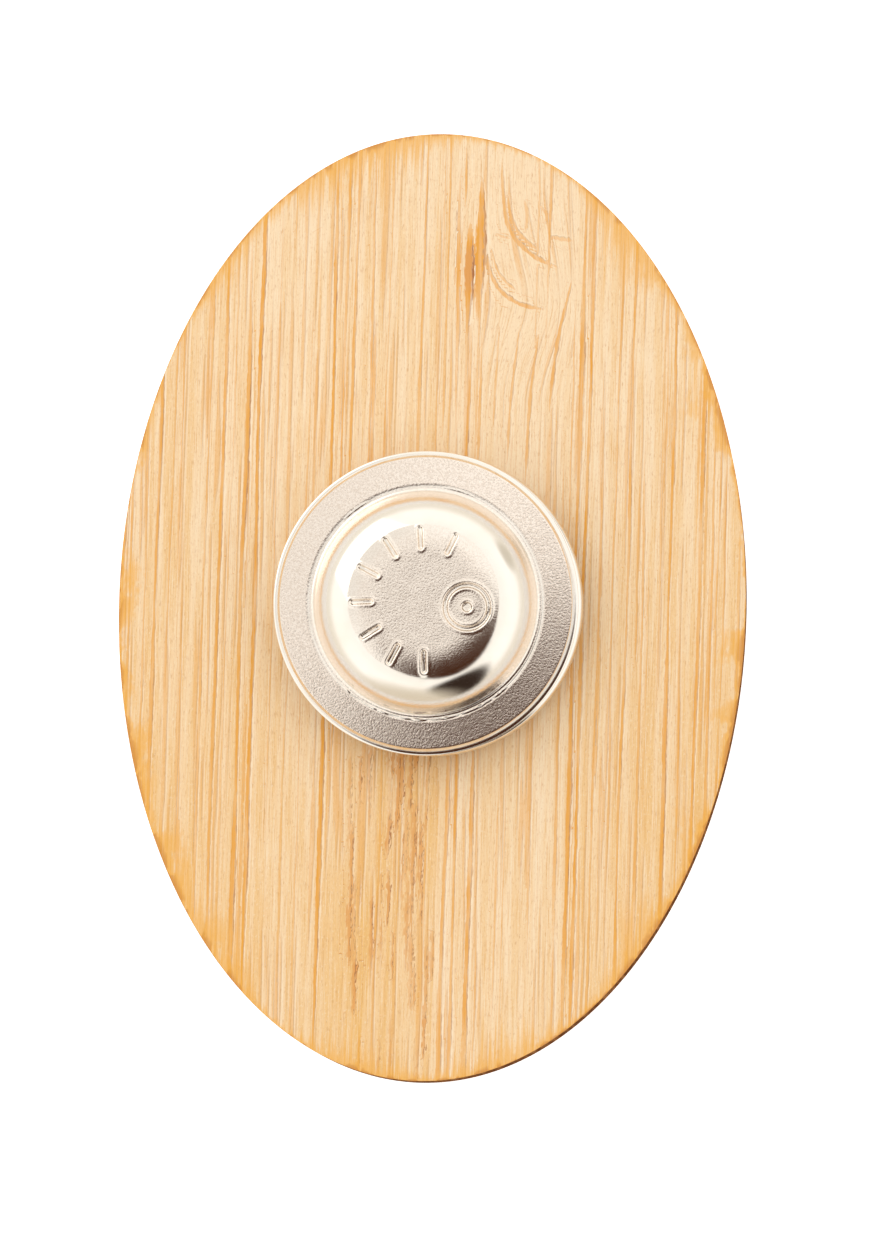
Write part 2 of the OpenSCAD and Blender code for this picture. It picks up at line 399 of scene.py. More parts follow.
def edge_values(x, y):
    """Distance from the cut, distance from it along the grain, and how hot the laser was there."""
    out = (x / HALF_W) ** 2 + (y / HALF_H) ** 2
    slope = 2 * np.hypot(x / HALF_W ** 2, y / HALF_H ** 2)
    inside = np.clip(1 - out, 0, 1) / np.maximum(slope, 1e-6)
    along = HALF_H * np.sqrt(np.clip(1 - (x / HALF_W) ** 2, 0, 1)) - abs(y)
    bearing = np.degrees(np.arctan2(y, x))
    heat = LEAST_SCORCH + 0 * x
    for at, much, spread in SCORCH_SPOTS:
        heat += much * np.exp(-(((bearing - at + 180) % 360 - 180) / spread) ** 2 * 1.7)
    return {"inside": np.clip(inside, 0, SMOKE_REACH), "along": np.clip(along, 0, SMOKE_REACH),
            "laser_heat": np.minimum(heat, MOST_SCORCH)}


def coarse_at(number, x, y):
    """Where the sander tore the soft grain of the third strip."""
    return smooth_step(-y, 1, 9) * smooth_step(x, -5.4, -3.8) if number == 3 else 0 * x


STRIP_TONES = (0.05, 0.0, 0.12, -0.12, 0.0, 0.1)


def tone_and_shade_at(number, x, y):
    """Broad changes of colour: each strip has its own. The lower half of the board is painted warmer and
    darker, as painted shade from the light at its upper end.
    """
    # The term in -y is painted shade: the lower half darker, away from the light.
    tone_and_shade = STRIP_TONES[number - 1] + 0.34 * smooth_step(-y, -10, 18) + 0.14 * smooth_step(abs(x), 5, 13)
    tone_and_shade = tone_and_shade + 0.10 * smooth_noise(x / 1.6, y / 22, 5)
    tone_and_shade = tone_and_shade + 0.15 * coarse_at(number, x, y)
    if number == 4:
        tone_and_shade = tone_and_shade - 0.12 * smooth_step(-y, 4, 12) - 0.25 * smooth_step(y, 12, 17) * smooth_step(x, 1.8, 3.2)
    return tone_and_shade


CROWDING = 1.6              # how much closer the columns are at the oval's two sides
TIP_GAP = 0.0015            # the outermost column stops this short of the oval's side


def strip_grid(number, box):
    """A strip's outline as a grid of x and y, by column and row."""
    left_side, right_side = box[0].x / MM, box[1].x / MM
    share = np.linspace(0, 1, round(STRIP_W / COLUMN_STEP))
    if number == 1:
        share = share ** CROWDING
    if number == 6:
        share = 1 - (1 - share) ** CROWDING
    x = np.clip(left_side + (right_side - left_side) * share, TIP_GAP - HALF_W, HALF_W - TIP_GAP)
    reach = HALF_H * np.sqrt(1 - (x / HALF_W) ** 2)
    rows = NODE_ROWS if number == 4 else ROWS
    y = reach[:, None] * np.linspace(-1, 1, rows)
    return np.repeat(x[:, None], rows, 1), y


def grid_faces(columns, rows, first, flip):
    at = first + np.arange(columns * rows).reshape(columns, rows)
    quads = np.stack([at[:-1, :-1], at[1:, :-1], at[1:, 1:], at[:-1, 1:]], -1).reshape(-1, 4)
    return quads[:, ::-1] if flip else quads


SHARP = math.radians(40)    # edges sharper than this aren't smoothed over


def new_piece(name, points, faces, attributes, material):
    """A piece from points in millimetres, with one float attribute for each entry of attributes."""
    mesh = bpy.data.meshes.new(name)
    mesh.from_pydata((np.asarray(points) * MM).tolist(), [], [list(f) for f in faces])
    for key, values in attributes.items():
        mesh.attributes.new(key, "FLOAT", "POINT").data.foreach_set("value", np.asarray(values, np.float32))
    mesh.shade_smooth()
    mesh.set_sharp_from_angle(angle=SHARP)
    mesh.materials.append(material)
    piece = bpy.data.objects.new(name, mesh)
    bpy.context.scene.collection.objects.link(piece)
    return piece


GROOVE_DEPTH = 0.006        # depth of the groove along a bundle's right side
TEXTURE = 0.005             # and of the fine grain


def back_relief(number, grain):
    """How deep each point of the sanded back lies below the board's full thickness."""
    x, y = grain.x, grain.y
    groove = np.exp(-((grain.across - 1.3) / 0.6) ** 2) + 0.3 * np.exp(-grain.across ** 2)
    fine = smooth_noise(x / 0.13, y / 7, 11) + 0.6 * smooth_noise(x / 0.07, y / 3, 12)
    torn = 0.010 * coarse_at(number, x, y) * (1 + smooth_noise(x / 0.2, y / 1.2, 13))
    return GROOVE_DEPTH * groove * grain.strength + TEXTURE * (1.6 + fine) + torn


def front_points(number, box, grain):
    """The front face: the laser's cut narrows with depth, so the oval is a little smaller here."""
    x = grain.x
    if number in (1, 6):
        inner = box[0].x / MM if number == 6 else box[1].x / MM
        width = HALF_W - abs(inner)
        x = inner + (x - inner) * (width - KERF_TAPER) / width
    full = HALF_H * np.sqrt(np.clip(1 - (grain.x / HALF_W) ** 2, 1e-9, 1))
    reach = (HALF_H - KERF_TAPER) * np.sqrt(np.clip(1 - (x / (HALF_W - KERF_TAPER)) ** 2, 0, 1))
    height = TEXTURE * (1 + smooth_noise(x / 0.13, grain.y / 7, 21))
    return np.column_stack([x, grain.y * reach / full, height])


def bamboo_piece(number, box, material):
    x, y = strip_grid(number, box)
    columns, rows = x.shape
    grain = Grain(x.ravel(), y.ravel())
    fibres(grain, number, box[1].x / MM - STRIP_W if number == 1 else box[0].x / MM)
    top = np.column_stack([grain.x, grain.y, THICK - back_relief(number, grain)])
    bottom = front_points(number, box, grain)

    # The loop of points round the strip's outline, and which of them lie on a glue joint
    at = np.arange(columns * rows).reshape(columns, rows)
    loop = np.concatenate([at[:, 0], at[-1, 1:], at[-2::-1, -1], at[0, -2:0:-1]])
    column, row = np.divmod(loop, rows)
    glued = ((column == 0) & (number != 1)) | ((column == columns - 1) & (number != 6))
    glued &= (row > 0) & (row < rows - 1)

    faces = [grid_faces(columns, rows, 0, False), grid_faces(columns, rows, columns * rows, True)]
    points, before, count = [top, bottom], loop, 2 * columns * rows
    char = [np.zeros(count)]
    for depth in (0.01, *np.linspace(0.04, 0.97, WALL_RINGS - 2), 0.995):
        ring = top[loop] * (1 - depth) + bottom[loop] * depth
        burnt = 0.5 + 0.5 * smooth_noise(ring[:, 0] / 0.11 + ring[:, 1] / 0.35, ring[:, 2] / 2.5, 31)
        burnt = np.where(glued, 0, BURN_BACK * burnt * min(1, depth * 8))
        outward = np.column_stack([ring[:, 0] / HALF_W ** 2, ring[:, 1] / HALF_H ** 2])
        ring[:, :2] -= burnt[:, None] * outward / np.hypot(*outward.T)[:, None]
        now = count + np.arange(len(loop))
        faces.append(np.stack([now, np.roll(now, -1), np.roll(before, -1), before], -1))
        points.append(ring)
        char.append(np.where(glued, 0, 1.0))
        before, count = now, count + len(loop)
    low = loop + columns * rows
    faces.append(np.stack([low, np.roll(low, -1), np.roll(before, -1), before], -1))

    def everywhere(values, on_front=1.0):
        """A value of the back, carried down the wall and on to the front."""
        return np.concatenate([values, values * on_front] + [values[loop]] * WALL_RINGS)

    attributes = {key: everywhere(values) for key, values in edge_values(grain.x, grain.y).items()}
    attributes["across"] = everywhere(grain.across)
    attributes["strength"] = everywhere(grain.strength, 0.5)
    attributes["torn"] = everywhere(grain.torn)
    attributes["tone_and_shade"] = everywhere(tone_and_shade_at(number, grain.x, grain.y))
    attributes["sway"] = everywhere(sway_at(number, grain.x, grain.y))
    attributes["char"] = np.concatenate(char)
    piece = new_piece(f"bamboo_{number}", np.concatenate(points), np.concatenate(faces), attributes, material)
    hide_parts(STRIPS[number - 1])
    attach(piece, "badge")


PALE, WARM = colour(252, 225, 187), colour(241, 193, 122)
# The second colour here is the pale of the grain and also a painted highlight; the third is painted shade in
# the grooves.
FIBRE_TINT, PALE_AND_HIGHLIGHT_TINT, GROOVE_SHADE = colour(237, 166, 66), colour(255, 237, 208), colour(176, 112, 62)
TORN_TINT = colour(228, 161, 88)
SMOKE_TINT, SCORCH_TINT = colour(243, 178, 74), colour(196, 120, 48)
CHAR_TINT, CHAR_LIGHT = colour(118, 73, 44), colour(182, 128, 80)


def bamboo_material():
    material, make, shader = new_material("sanded_bamboo")
    sway = make.node("CombineXYZ", make.math("MULTIPLY", make.attribute("sway"), -1.0))

    def grain_noise(across, along, shift=0.0, detail=2.0):
        """Noise drawn out along the grain, with its sizes and a shift to the right in millimetres."""
        place = make.node("VectorMath", make.here(), sway, operation="ADD")
        place = make.node("VectorMath", place, (-shift, 0, 0), operation="ADD")
        place = make.node("VectorMath", place, (1 / across, 1 / along, 0.7), operation="MULTIPLY")
        return make.noise(place, detail=detail, rough=0.55)

    # Slim bundles, each with a groove painted dark as shade and then a painted highlight on its right
    bundle = make.ramp(grain_noise(0.34, 17), 0.575, 0.64)
    a_groove_on = make.ramp(grain_noise(0.34, 17, 0.06), 0.575, 0.64)
    a_highlight_on = make.ramp(grain_noise(0.34, 17, 0.14), 0.575, 0.64)
    slim_groove = make.math("MULTIPLY", a_groove_on, make.math("SUBTRACT", 1.0, bundle))
    slim_highlight = make.math("MULTIPLY", a_highlight_on, make.math("SUBTRACT", 1.0, a_groove_on))

    hair = grain_noise(0.055, 2.6, detail=3)
    fleck = grain_noise(0.07, 0.5)
    sanding_and_glints = grain_noise(0.09, 0.2)
    ragged = make.ramp(grain_noise(0.10, 0.6), 0.3, 0.7, -0.7, 0.7)
    ragged = make.math("MULTIPLY", ragged, make.math("ADD", make.attribute("torn"), 0.35))
    calm = make.ramp(make.attribute("sway"), 0.5, 1.3, 1.0, 0.25)

    # The bundles that stand out, from how far across them a point lies. The groove beside each is painted
    # dark as shade, and the lip past it is a painted highlight.
    across = make.math("ADD", make.attribute("across"), ragged)
    strength = make.attribute("strength")
    band = make.math("MULTIPLY", make.ramp(make.math("ABSOLUTE", across), 1.25, 0.8), strength)
    # Beside each bundle, groove is where painted shade goes and lip is where a painted highlight goes.
    beside = make.math("ABSOLUTE", make.math("SUBTRACT", across, 1.35))
    groove = make.math("MULTIPLY", make.ramp(beside, 0.5, 0.1), strength)
    beyond = make.math("ABSOLUTE", make.math("SUBTRACT", across, 2.15))
    lip = make.math("MULTIPLY", make.ramp(beyond, 0.6, 0.2), strength)

    vein = grain_noise(0.42, 15, 5.3)
    # This carries the wood's own colour changes and the painted shade of the lower half.
    tone_and_shade = make.math("ADD", make.attribute("tone_and_shade"), make.ramp(vein, 0.38, 0.62, -0.2, 0.22))
    ground = make.mix(make.math("ADD", tone_and_shade, 0.12, clamp=True), PALE, WARM)
    ground = make.mix(make.ramp(hair, 0.50, 0.72, 0, 0.6), ground, colour(230, 176, 108))
    ground = make.mix(make.ramp(hair, 0.46, 0.28, 0, 0.5), ground, PALE_AND_HIGHLIGHT_TINT)
    ground = make.mix(make.ramp(fleck, 0.58, 0.74, 0, 0.55), ground, colour(214, 158, 100))
    # The palest specks of the sanding noise are painted glints; its darker specks are the sanded texture.
    ground = make.mix(make.ramp(sanding_and_glints, 0.44, 0.24, 0, 0.45), ground, PALE_AND_HIGHLIGHT_TINT)
    ground = make.mix(make.ramp(sanding_and_glints, 0.56, 0.74, 0, 0.35), ground, colour(222, 172, 118))
    ground = make.mix(make.math("MULTIPLY", bundle, make.math("MULTIPLY", calm, 0.38)), ground, FIBRE_TINT)
    # Painted shade in each slim groove, and a painted highlight past it
    slim_groove_shade = make.math("MULTIPLY", slim_groove, make.math("MULTIPLY", calm, 0.3))
    ground = make.mix(slim_groove_shade, ground, GROOVE_SHADE)
    ground = make.mix(make.math("MULTIPLY", slim_highlight, make.math("MULTIPLY", calm, 0.4)), ground, PALE_AND_HIGHLIGHT_TINT)
    # Painted highlight past each bold bundle, weaker where it is torn
    torn = make.attribute("torn")
    highlight_shown = make.node("MapRange", torn, 0.0, 1.0, 0.6, 0.15)
    ground = make.mix(make.math("MULTIPLY", lip, highlight_shown), ground, PALE_AND_HIGHLIGHT_TINT)
    shown = make.ramp(grain_noise(0.12, 3.0), 0.3, 0.62, 0.62, 1.0)
    band_tint = make.mix(make.math("MAXIMUM", torn, make.ramp(strength, 1.0, 1.4)), FIBRE_TINT, TORN_TINT)
    ground = make.mix(make.math("MULTIPLY", band, shown), ground, band_tint)
    # Painted shade in the groove beside each bold bundle
    groove_shade_shown = make.ramp(grain_noise(0.15, 4.0, 7.7), 0.35, 0.62, 0.3, 0.75)
    groove_shade_shown = make.math("ADD", groove_shade_shown, torn, clamp=True)
    ground = make.mix(make.math("MULTIPLY", groove, groove_shade_shown), ground, GROOVE_SHADE)

    # Smoke creeps along the grain in streaks, and the very edge is browned
    streak = make.ramp(grain_noise(0.24, 13, 3.1), 0.35, 0.68)
    patch = make.ramp(make.noise(make.here((1.1, 2.4, 1.5)), detail=3, rough=0.6), 0.38, 0.62)
    heat = make.attribute("laser_heat")
    far_reach = make.math("MULTIPLY", heat, make.math("ADD", 0.6, make.math("MULTIPLY", streak, 7.0)))
    near_reach = make.math("MULTIPLY", heat, make.math("ADD", 0.25, make.math("MULTIPLY", patch, 3.0)))
    smoke = make.ramp(make.attribute("along"), 0.0, far_reach, 0.8, 0.0)
    glow = make.ramp(make.attribute("inside"), 0.0, near_reach, 0.9, 0.0)
    stained = make.math("MAXIMUM", smoke, glow)
    stained = make.math("MULTIPLY", stained, make.ramp(hair, 0.3, 0.62, 0.65, 1.0), clamp=True)
    ground = make.mix(stained, ground, SMOKE_TINT)
    rim_reach = make.math("MULTIPLY", make.math("ADD", heat, 0.15), make.ramp(patch, 0.3, 0.9, 0.05, 0.5))
    browned = make.ramp(make.attribute("inside"), 0.0, rim_reach, 0.6, 0.0)
    ground = make.mix(browned, ground, SCORCH_TINT)

    soot = make.noise(make.here((0.3, 0.3, 3.5)), detail=4)
    wall = make.mix(make.ramp(soot, 0.35, 0.8), CHAR_TINT, CHAR_LIGHT)
    make.put(shader.inputs["Base Color"], make.mix(make.attribute("char"), ground, wall))
    make.put(shader.inputs["Roughness"], make.ramp(hair, 0.3, 0.7, 0.5, 0.68))
    make.put(shader.inputs["Specular IOR Level"], make.ramp(make.attribute("char"), 0, 1, 0.35, 0.0))
    height = make.math("ADD", make.math("MULTIPLY", hair, 0.6), make.math("MULTIPLY", fleck, -0.5))
    height = make.math("SUBTRACT", height, make.math("MULTIPLY", slim_groove, 0.8))
    height = make.math("ADD", height, make.math("MULTIPLY", sanding_and_glints, 0.5))
    make.put(shader.inputs["Normal"], make.bump(height, 0.6, 0.02))
    return material


bamboo = bamboo_material()
for number, box in enumerate(strip_boxes, 1):
    bamboo_piece(number, box, bamboo)

# ---------------------------------------------------------------------------
# The foam tape: a white closed-cell pad, sticky on both sides, punched to a
# disc. It holds the keeper to the board and is pressed a little as it is stuck.
# ---------------------------------------------------------------------------

AROUND = 440                # points round anything turned


def arc(centre, radius, start, end, steps):
    """Points on an arc in the plane of radius and height. Angles are in degrees."""
    angles = np.radians(np.linspace(start, end, steps))
    return np.column_stack([centre[0] + radius * np.cos(angles), centre[1] + radius * np.sin(angles)])


def straight(a, b, steps):
    return np.column_stack([np.linspace(a[0], b[0], steps), np.linspace(a[1], b[1], steps)])


def turned(name, section, axis, material, shape=None, values=None, around=AROUND):
    """A piece turned about an upright axis. Its section runs from the axis at the top, round the outside, to
    the axis below. shape moves its points and values gives its attributes, both in places about the axis."""
    section = np.asarray(section, float)
    keep = np.concatenate([[True], np.hypot(*np.diff(section, axis=0).T) > 1e-6])
    section = section[keep]
    rings = section[1:-1]
    angles = 2 * np.pi * np.arange(around) / around
    x = rings[:, :1] * np.cos(angles)
    y = rings[:, :1] * np.sin(angles)
    z = np.repeat(rings[:, 1:], around, 1)
    points = np.column_stack([x.ravel(), y.ravel(), z.ravel()])
    points = np.vstack([points, [0, 0, section[0, 1]], [0, 0, section[-1, 1]]])
    if shape:
        points = shape(points)
    attributes = values(points) if values else {}
    at = np.arange(len(rings) * around).reshape(len(rings), around)
    ahead = np.roll(at, -1, 1)
    quads = np.stack([at[:-1], at[1:], ahead[1:], ahead[:-1]], -1).reshape(-1, 4)
    crown, sole = at.size, at.size + 1
    top_fan = [(crown, a, b) for a, b in zip(at[0], ahead[0])]
    low_fan = [(sole, b, a) for a, b in zip(at[-1], ahead[-1])]
    faces = quads.tolist() + top_fan + low_fan
    return new_piece(name, points + axis, faces, attributes, material)


tape_low, tape_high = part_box("foam_tape")
TAPE_R, TAPE_T = tape_high.x / MM, (tape_high.z - tape_low.z) / MM
board_axis = np.array([0, 0, tape_low.z / MM])

foam_white, make, shader = new_material("foam_white")
cells = make.node("TexVoronoi", inputs={"Vector": make.here((0.16, 0.16, 0.12))}, out=0)
dirt = make.noise(make.here((1.5, 1.5, 0.4)), detail=4)
foam_colour = make.mix(make.ramp(cells, 0.1, 0.7, 0, 0.4), colour(236, 235, 230), colour(196, 194, 188))
foam_colour = make.mix(make.ramp(dirt, 0.5, 0.8, 0, 0.5), foam_colour, colour(206, 198, 180))
make.put(shader.inputs["Base Color"], foam_colour)
make.put(shader.inputs["Roughness"], make.ramp(cells, 0.0, 0.8, 0.95, 0.75))
make.put(shader.inputs["Normal"], make.bump(cells, 0.7, 0.05))


def foam_shape(points):
    """The punched side bulges a little where the pad is pressed, and its cells leave it pitted."""
    radius, height = np.hypot(points[:, 0], points[:, 1]), points[:, 2]
    around = np.arctan2(points[:, 1], points[:, 0]) * TAPE_R
    pits = 0.03 * smooth_noise(around / 0.16, height / 0.12, 61) - 0.03
    side = smooth_step(radius, TAPE_R - 0.3, TAPE_R - 0.1)
    scale = 1 + side * pits / np.maximum(radius, 1)
    return np.column_stack([points[:, 0] * scale, points[:, 1] * scale, height])


BULGE_R = 1.7
bulge = arc((TAPE_R - BULGE_R, TAPE_T / 2), BULGE_R, 12, -12, 13)
foam = turned("foam_pad", np.vstack([
    straight((0, TAPE_T), (TAPE_R - 0.15, TAPE_T), 6),
    straight((TAPE_R - 0.12, TAPE_T - 0.004), bulge[0], 3),
    bulge,
    straight(bulge[-1], (TAPE_R - 0.12, 0.004), 3),
    straight((TAPE_R - 0.15, 0), (0, 0), 6)]),
    board_axis, foam_white, foam_shape)
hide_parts("foam_tape")
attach(foam, "badge")

# ---------------------------------------------------------------------------
# The keeper: a disc punched from steel sheet, tumbled so that its edges are
# round, and plated with bright nickel. The clasp has worn faint rings on it.
# ---------------------------------------------------------------------------


def new_group(name, inputs, outputs):
    """A shader node group with float sockets by name, its maker and its two end nodes."""
    tree = bpy.data.node_groups.new(name, "ShaderNodeTree")
    for socket, value in inputs.items():
        tree.interface.new_socket(socket, in_out="INPUT", socket_type="NodeSocketFloat").default_value = value
    for socket, kind in outputs.items():
        tree.interface.new_socket(socket, in_out="OUTPUT", socket_type="NodeSocket" + kind)
    maker = NodeMaker(tree)
    return tree, maker, tree.nodes.new("NodeGroupInput").outputs, tree.nodes.new("NodeGroupOutput").inputs


# Nickel plate: sandy where the tool or the tumbling left it matt, smooth where it was drawn or turned
plate, make, given, gives = new_group(
    "nickel_plate", {"Matt": 1.0, "Sand": 1.0}, {"Color": "Color", "Roughness": "Float", "Height": "Float"})
sand = make.noise(make.here((0.11, 0.11, 0.11)), detail=2, rough=0.6)
peel = make.noise(make.here((0.5, 0.5, 0.5)), detail=2)
cloud = make.noise(make.here((3.2, 3.2, 3.2)), detail=4, rough=0.6)
hairline = make.noise(make.here((2.6, 0.05, 0.5)), detail=2)
tarnish = make.ramp(cloud, 0.35, 0.75, 0, 0.5)
metal = make.mix(tarnish, colour(245, 238, 228), colour(236, 226, 208))
matt_metal = make.mix(make.ramp(sand, 0.35, 0.65), colour(250, 238, 225), colour(235, 220, 205))
make.put(gives["Color"], make.mix(given["Matt"], metal, matt_metal))
smooth = make.ramp(cloud, 0.3, 0.7, 0.09, 0.15)
matt = make.ramp(sand, 0.3, 0.7, 0.18, 0.25)
worn = make.ramp(hairline, 0.62, 0.8, 0, 0.08)
rough = make.node("Mix", given["Matt"], None, smooth, matt)
make.put(gives["Roughness"], make.math("ADD", rough, worn))
grit = make.math("MULTIPLY", make.math("MULTIPLY", sand, given["Sand"]), given["Matt"])
make.put(gives["Height"], make.math("ADD", grit, make.math("MULTIPLY", peel, 0.12)))


def nickel_material(name, sand):
    """Nickel plate with this much sand. The piece's own attribute says where it is matt."""
    material, make, shader = new_material(name)
    group = make.tree.nodes.new("ShaderNodeGroup")
    group.node_tree = plate
    make.put(group.inputs["Matt"], make.attribute("matt"))
    group.inputs["Sand"].default_value = sand
    shader.inputs["Metallic"].default_value = 1
    make.put(shader.inputs["Base Color"], group.outputs["Color"])
    make.put(shader.inputs["Roughness"], group.outputs["Roughness"])
    make.put(shader.inputs["Normal"], make.bump(group.outputs["Height"], 0.6, 0.022))
    return material


keeper_low, keeper_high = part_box("keeper_disc")
KEEPER_R, KEEPER_T = keeper_high.x / MM, (keeper_high.z - keeper_low.z) / MM
KEEPER_ROUND, EDGE_BREAK = 0.35, 0.1
keeper_axis = np.array([0, 0, keeper_low.z / MM])


def keeper_values(points):
    radius = np.hypot(points[:, 0], points[:, 1])
    return {"matt": 0.45 * (1 - smooth_step(radius, KEEPER_R - 0.5, KEEPER_R - 0.3))}


WEAR_DEPTH = 0.004
WORN_RINGS = [(6.6, 0.25), (3.9, 0.15)]     # radius and half width, under the flange and the magnet


def keeper_shape(points):
    """The rings that the clasp has worn, a hair deep."""
    radius = np.hypot(points[:, 0], points[:, 1])
    ring = sum(np.exp(-((radius - worn_at) / half) ** 2) for worn_at, half in WORN_RINGS)
    points[:, 2] -= WEAR_DEPTH * ring * (points[:, 2] > KEEPER_T / 2)
    return points


keeper = turned("steel_keeper", np.vstack([
    straight((0, KEEPER_T), (KEEPER_R - KEEPER_ROUND, KEEPER_T), 60),
    arc((KEEPER_R - KEEPER_ROUND, KEEPER_T - KEEPER_ROUND), KEEPER_ROUND, 90, 0, 12),
    straight((KEEPER_R, KEEPER_T - KEEPER_ROUND), (KEEPER_R, EDGE_BREAK), 5),
    arc((KEEPER_R - EDGE_BREAK, EDGE_BREAK), EDGE_BREAK, 0, -90, 6),
    straight((KEEPER_R - EDGE_BREAK, 0), (0, 0), 8)]),
    keeper_axis, nickel_material("keeper_plate", 0.6), keeper_shape, keeper_values)
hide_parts("keeper_disc")
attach(keeper, "badge")

# ---------------------------------------------------------------------------
# The magnet: a disc pressed and sintered from neodymium powder, ground flat,
# tumbled and nickel plated. It shows only when the clasp is off.
# ---------------------------------------------------------------------------

magnet_low, magnet_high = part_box("disc_magnet")
MAGNET_R, MAGNET_T = (magnet_high.x - magnet_low.x) / 2 / MM, (magnet_high.z - magnet_low.z) / MM
MAGNET_EDGE = 0.15
clasp_axis = np.array([(magnet_high.x + magnet_low.x) / 2 / MM, 0, magnet_low.z / MM])


def magnet_values(points):
    radius = np.hypot(points[:, 0], points[:, 1])
    return {"matt": 0.5 * (1 - smooth_step(radius, MAGNET_R - 0.4, MAGNET_R - 0.1))}


magnet = turned("plated_magnet", np.vstack([
    straight((0, MAGNET_T), (MAGNET_R - MAGNET_EDGE, MAGNET_T), 20),
    arc((MAGNET_R - MAGNET_EDGE, MAGNET_T - MAGNET_EDGE), MAGNET_EDGE, 90, 0, 8),
    arc((MAGNET_R - MAGNET_EDGE, MAGNET_EDGE), MAGNET_EDGE, 0, -90, 8),
    straight((MAGNET_R - MAGNET_EDGE, 0), (0, 0), 20)]),
    clasp_axis, nickel_material("magnet_plate", 0.8), None, magnet_values, 240)
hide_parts("disc_magnet")
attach(magnet, "magnet")

# ---------------------------------------------------------------------------
# The glue: a drop of clear glue, squeezed to a thin film with an uneven edge
# when the magnet was pressed into the cap.
# ---------------------------------------------------------------------------

glue_low, glue_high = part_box("magnet_glue")
GLUE_SHRINK = 0.004         # how much thinner it has dried than the gap
LOBE_DEPTH = 0.06           # how far its edge runs in, as a share of its radius
GLUE_R, GLUE_T = (glue_high.x - glue_low.x) / 2 / MM, (glue_high.z - glue_low.z) / MM - GLUE_SHRINK

clear_glue, make, shader = new_material("clear_glue")
bubbles = make.node("TexVoronoi", inputs={"Vector": make.here((0.35, 0.35, 0.2))}, out=0)
glue_colour = make.mix(make.ramp(bubbles, 0.05, 0.3), colour(238, 230, 206), colour(205, 188, 142))
make.put(shader.inputs["Base Color"], glue_colour)
make.put(shader.inputs["Roughness"], make.ramp(bubbles, 0.1, 0.6, 0.12, 0.3))
make.put(shader.inputs["Normal"], make.bump(bubbles, 0.3, 0.02))


def glue_shape(points):
    """The film's edge runs in and out, as the glue was squeezed."""
    around = np.arctan2(points[:, 1], points[:, 0])
    lobes = 0.5 + 0.3 * np.sin(3 * around + 0.7) + 0.2 * np.sin(7 * around)
    scale = 1 - LOBE_DEPTH * lobes
    return np.column_stack([points[:, 0] * scale, points[:, 1] * scale, points[:, 2]])


glue = turned("glue_film", np.vstack([
    straight((0, GLUE_T), (GLUE_R - 0.05, GLUE_T), 6),
    arc((GLUE_R - GLUE_T / 2, GLUE_T / 2), GLUE_T / 2, 90, -90, 9),
    straight((GLUE_R - 0.05, 0), (0, 0), 6)]),
    clasp_axis + np.array([0, 0, MAGNET_T]), clear_glue, glue_shape, None, 180)
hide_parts("magnet_glue")
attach(glue, "magnet")

# ---------------------------------------------------------------------------
# The cap: one blank of thin steel, drawn to a dome with a flat top and a flange,
# stamped with sunk marks, and nickel plated. The tool left its flats sandy and
# drew its wall smooth. The marks are plain dashes and a ring round a dot.
# ---------------------------------------------------------------------------

cap_low, cap_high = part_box("magnet_cap")
CAP_R, CAP_H = (cap_high.x - cap_low.x) / 2 / MM, (cap_high.z - cap_low.z) / MM
SHEET = 0.5
TOP_R, BASE_R = 4.25, 6.25
WALL_R, BEND_R = 3.2, 0.25
INNER_TOP = CAP_H - SHEET
FLAT_SINK, FLAT_ROLL = 0.012, 0.14      # the dome's top lies a hair low, and rolls over at its edge
EDGE_H = CAP_H - FLAT_SINK - FLAT_ROLL
WALL_RISE = EDGE_H - SHEET

chord = math.hypot(BASE_R - TOP_R, WALL_RISE)
wall_inset = math.sqrt(WALL_R ** 2 - chord ** 2 / 4) / chord
wall_centre = ((TOP_R + BASE_R) / 2 - WALL_RISE * wall_inset,
               (EDGE_H + SHEET) / 2 - (BASE_R - TOP_R) * wall_inset)
wall_start = math.degrees(math.atan2(EDGE_H - wall_centre[1], TOP_R - wall_centre[0]))
bend_z = SHEET + BEND_R
bend_centre = (wall_centre[0] + math.sqrt((WALL_R + BEND_R) ** 2 - (bend_z - wall_centre[1]) ** 2), bend_z)
wall_end = math.degrees(math.atan2(bend_z - wall_centre[1], bend_centre[0] - wall_centre[0]))
inner_start = math.degrees(math.asin((INNER_TOP - wall_centre[1]) / (WALL_R - SHEET)))
inner_r = wall_centre[0] + (WALL_R - SHEET) * math.cos(math.radians(inner_start))

# Past the ring that the drawing tool pressed in it, the flange falls away to a polished bevel and a round
# rim. FALL is the share of that drop that comes early.
WITNESS_R, BURR_R, FOOT_R = 6.69, 6.52, 6.5
FALL, FALL_BEND = 0.06, 1.05
BEVEL = [(CAP_R - 0.36, SHEET - 0.14), (CAP_R - 0.22, SHEET - 0.32)]
share = np.linspace(0.02, 1, 18)
dropped = FALL * share ** 0.5 + (1 - FALL) * share ** FALL_BEND
flange_top = np.column_stack([WITNESS_R + (BEVEL[0][0] - WITNESS_R) * share,
                              SHEET - (SHEET - BEVEL[0][1]) * dropped])
turn = np.radians(np.linspace(0, 90, 9))
quarter = np.column_stack([1 - np.sin(turn), np.cos(turn)])

